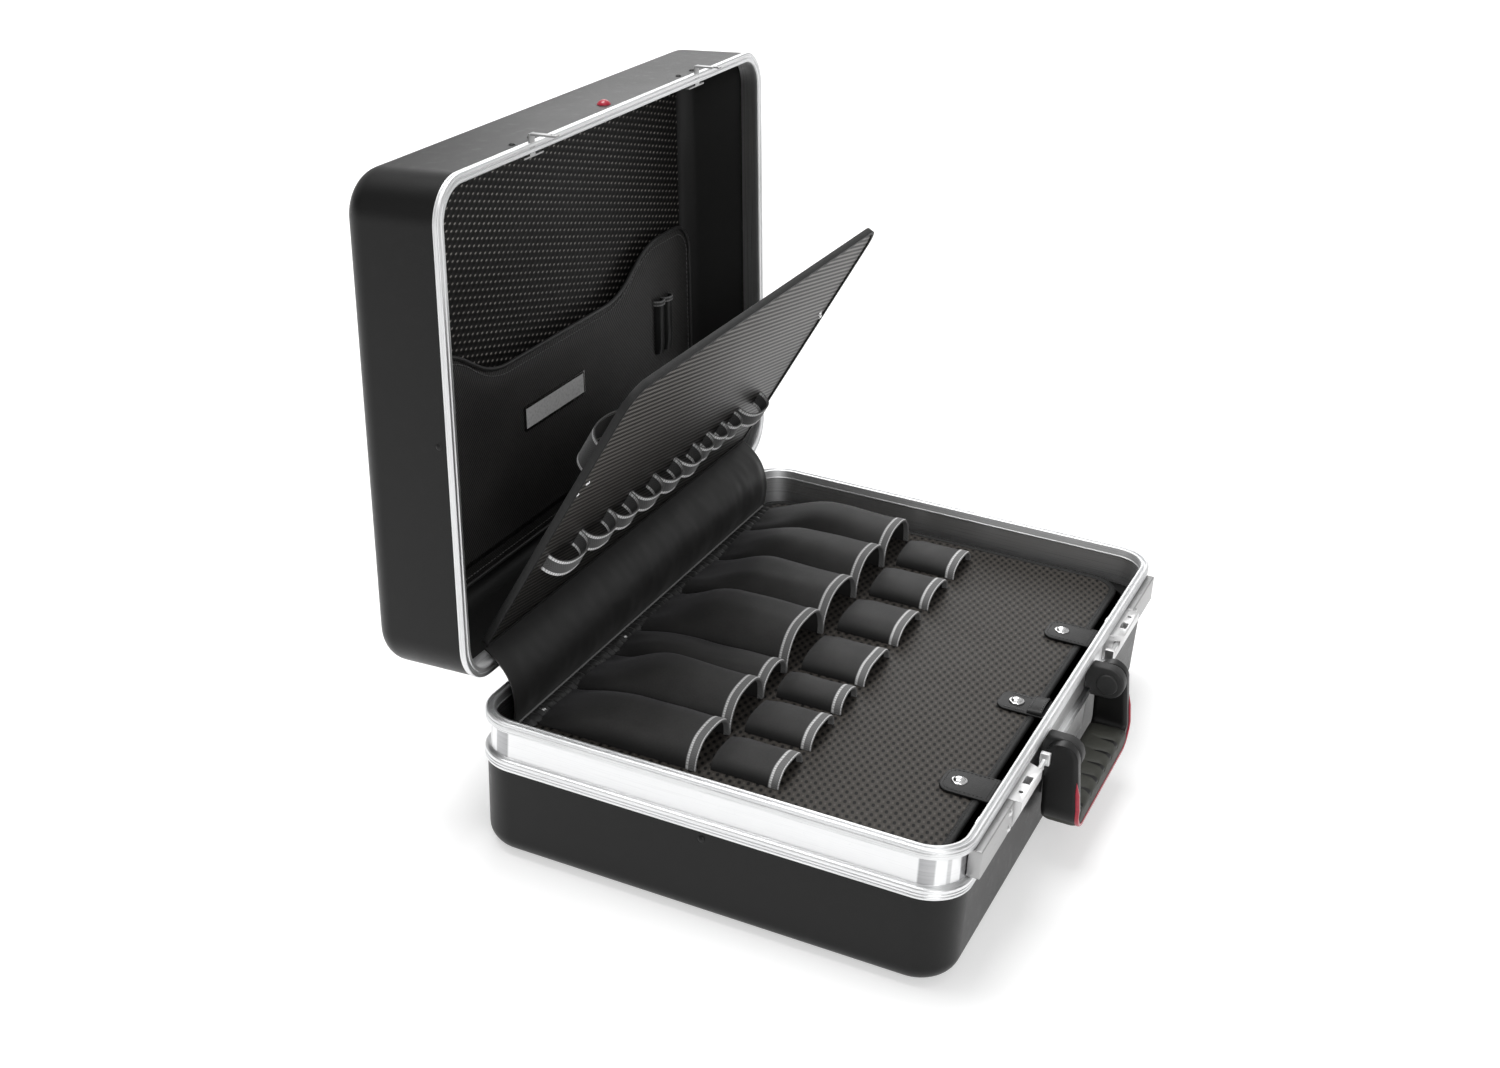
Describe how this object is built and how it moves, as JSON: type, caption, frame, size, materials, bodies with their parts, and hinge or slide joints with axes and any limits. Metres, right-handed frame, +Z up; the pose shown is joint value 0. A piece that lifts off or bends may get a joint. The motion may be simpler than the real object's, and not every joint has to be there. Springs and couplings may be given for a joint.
{
  "type": "hard tool case",
  "caption": "Hard tool case with an aluminium frame, hinged lid, folding tool panel, sewn pockets and a carrying handle, shown open.",
  "frame": {"origin": "middle of the base's flat underside", "axes": "+X along the hinge, to the right seen from the handle; -Y the front with the handle and latches; +Z up"},
  "size_m": [0.4918, 0.4831, 0.4791],
  "materials": {
    "shell_plastic": "fine-grained black moulded shell",
    "aluminium": "satin anodised extrusion",
    "board_sheet": "textured black sheet",
    "ledge_plastic": "plain black moulding",
    "black_tape": "folded black edge tape",
    "pocket_fabric": "coated black fabric with a fine grain",
    "grey_tape": "grey binding tape",
    "strip_plastic": "black clamping strip",
    "bright_steel": "bright plated steel",
    "satin_metal": "satin plated sheet and castings",
    "bracket_grey": "light grey moulding",
    "black_plastic": "black moulding",
    "pin_steel": "turned steel",
    "panel_sheet": "stiff board covered in ribbed black sheet",
    "liner_fabric": "embossed black liner",
    "pocket_leather": "ribbed leather-look sheet",
    "leather_edge": "stitched edge binding",
    "card_plastic": "clear film over a bare card",
    "red_plastic": "red moulding",
    "grip_rubber": "soft dark grey grip"
  },
  "bodies": {
    "base": {"base_shell": "shell_plastic", "base_frame": "aluminium", "board_ledge": "ledge_plastic", "base_board": "board_sheet", "board_binding": "black_tape", "tube_pocket_1": "pocket_fabric", "tube_pocket_2": "pocket_fabric", "tube_pocket_3": "pocket_fabric", "tube_pocket_4": "pocket_fabric", "tube_pocket_5": "pocket_fabric", "tube_pocket_6": "pocket_fabric", "tube_pocket_7": "pocket_fabric", "pocket_bindings": "grey_tape", "low_pockets": "pocket_fabric", "low_pocket_bindings": "grey_tape", "snap_straps": "pocket_fabric", "snap_buttons": "bright_steel", "board_tab": "pocket_fabric", "spine_strip": "strip_plastic", "strip_rivets": "bright_steel", "board_clips": "bright_steel", "name_plate": "satin_metal", "handle_bracket": "bracket_grey", "handle_bosses": "black_plastic", "handle_pins": "pin_steel", "latch_plates": "satin_metal", "latch_rivets": "satin_metal", "latch_housing_right": "satin_metal", "latch_housing_left": "satin_metal", "hinge_leaf_base": "bright_steel", "hinge_pin": "bright_steel", "hinge_rivets_base": "bright_steel", "side_rivets_base": "black_plastic"},
    "lid": {"lid_shell": "shell_plastic", "lid_frame": "aluminium", "lid_liner": "liner_fabric", "document_pocket": "pocket_leather", "pocket_edge": "leather_edge", "pen_loops": "pocket_fabric", "card_holder": "card_plastic", "lid_hasps": "satin_metal", "hasp_rivets": "black_plastic", "lid_plug": "red_plastic", "side_rivets_lid": "black_plastic", "hinge_leaf_lid": "bright_steel", "hinge_rivets_lid": "bright_steel"},
    "tool_panel": {"panel_board": "panel_sheet", "panel_edge": "black_tape", "front_loops": "pocket_fabric", "front_loop_bindings": "grey_tape", "back_loops": "pocket_fabric", "back_loop_bindings": "grey_tape", "panel_rivets": "bright_steel", "spine_sheet": "pocket_fabric"},
    "handle": {"handle_core": "black_plastic", "handle_grip": "grip_rubber", "handle_inlay": "red_plastic"},
    "latch_right": {"latch_slide_right": "satin_metal"},
    "latch_left": {"latch_slide_left": "satin_metal"}
  },
  "joints": [
    {"name": "lid_hinge", "type": "hinge", "parent": "base", "child": "lid", "pos_m": [0, 0.1825, 0.113], "axis": [1, 0, 0], "range_deg": [0, 94.2]},
    {"name": "panel_hinge", "type": "hinge", "parent": "base", "child": "tool_panel", "pos_m": [0, 0.16, 0.0827], "axis": [1, 0, 0], "range_deg": [0, 63]},
    {"name": "handle_hinge", "type": "hinge", "parent": "base", "child": "handle", "pos_m": [0, -0.1892, 0.085], "axis": [-1, 0, 0], "range_deg": [0, 100]},
    {"name": "latch_right_slide", "type": "slide", "parent": "base", "child": "latch_right", "axis": [1, 0, 0], "range_m": [0, 0.006]},
    {"name": "latch_left_slide", "type": "slide", "parent": "base", "child": "latch_left", "axis": [-1, 0, 0], "range_m": [0, 0.006]}
  ],
  "couplings": [
    {"joint": "panel_hinge", "follows": "lid_hinge", "ratio": 0.668}
  ]
}
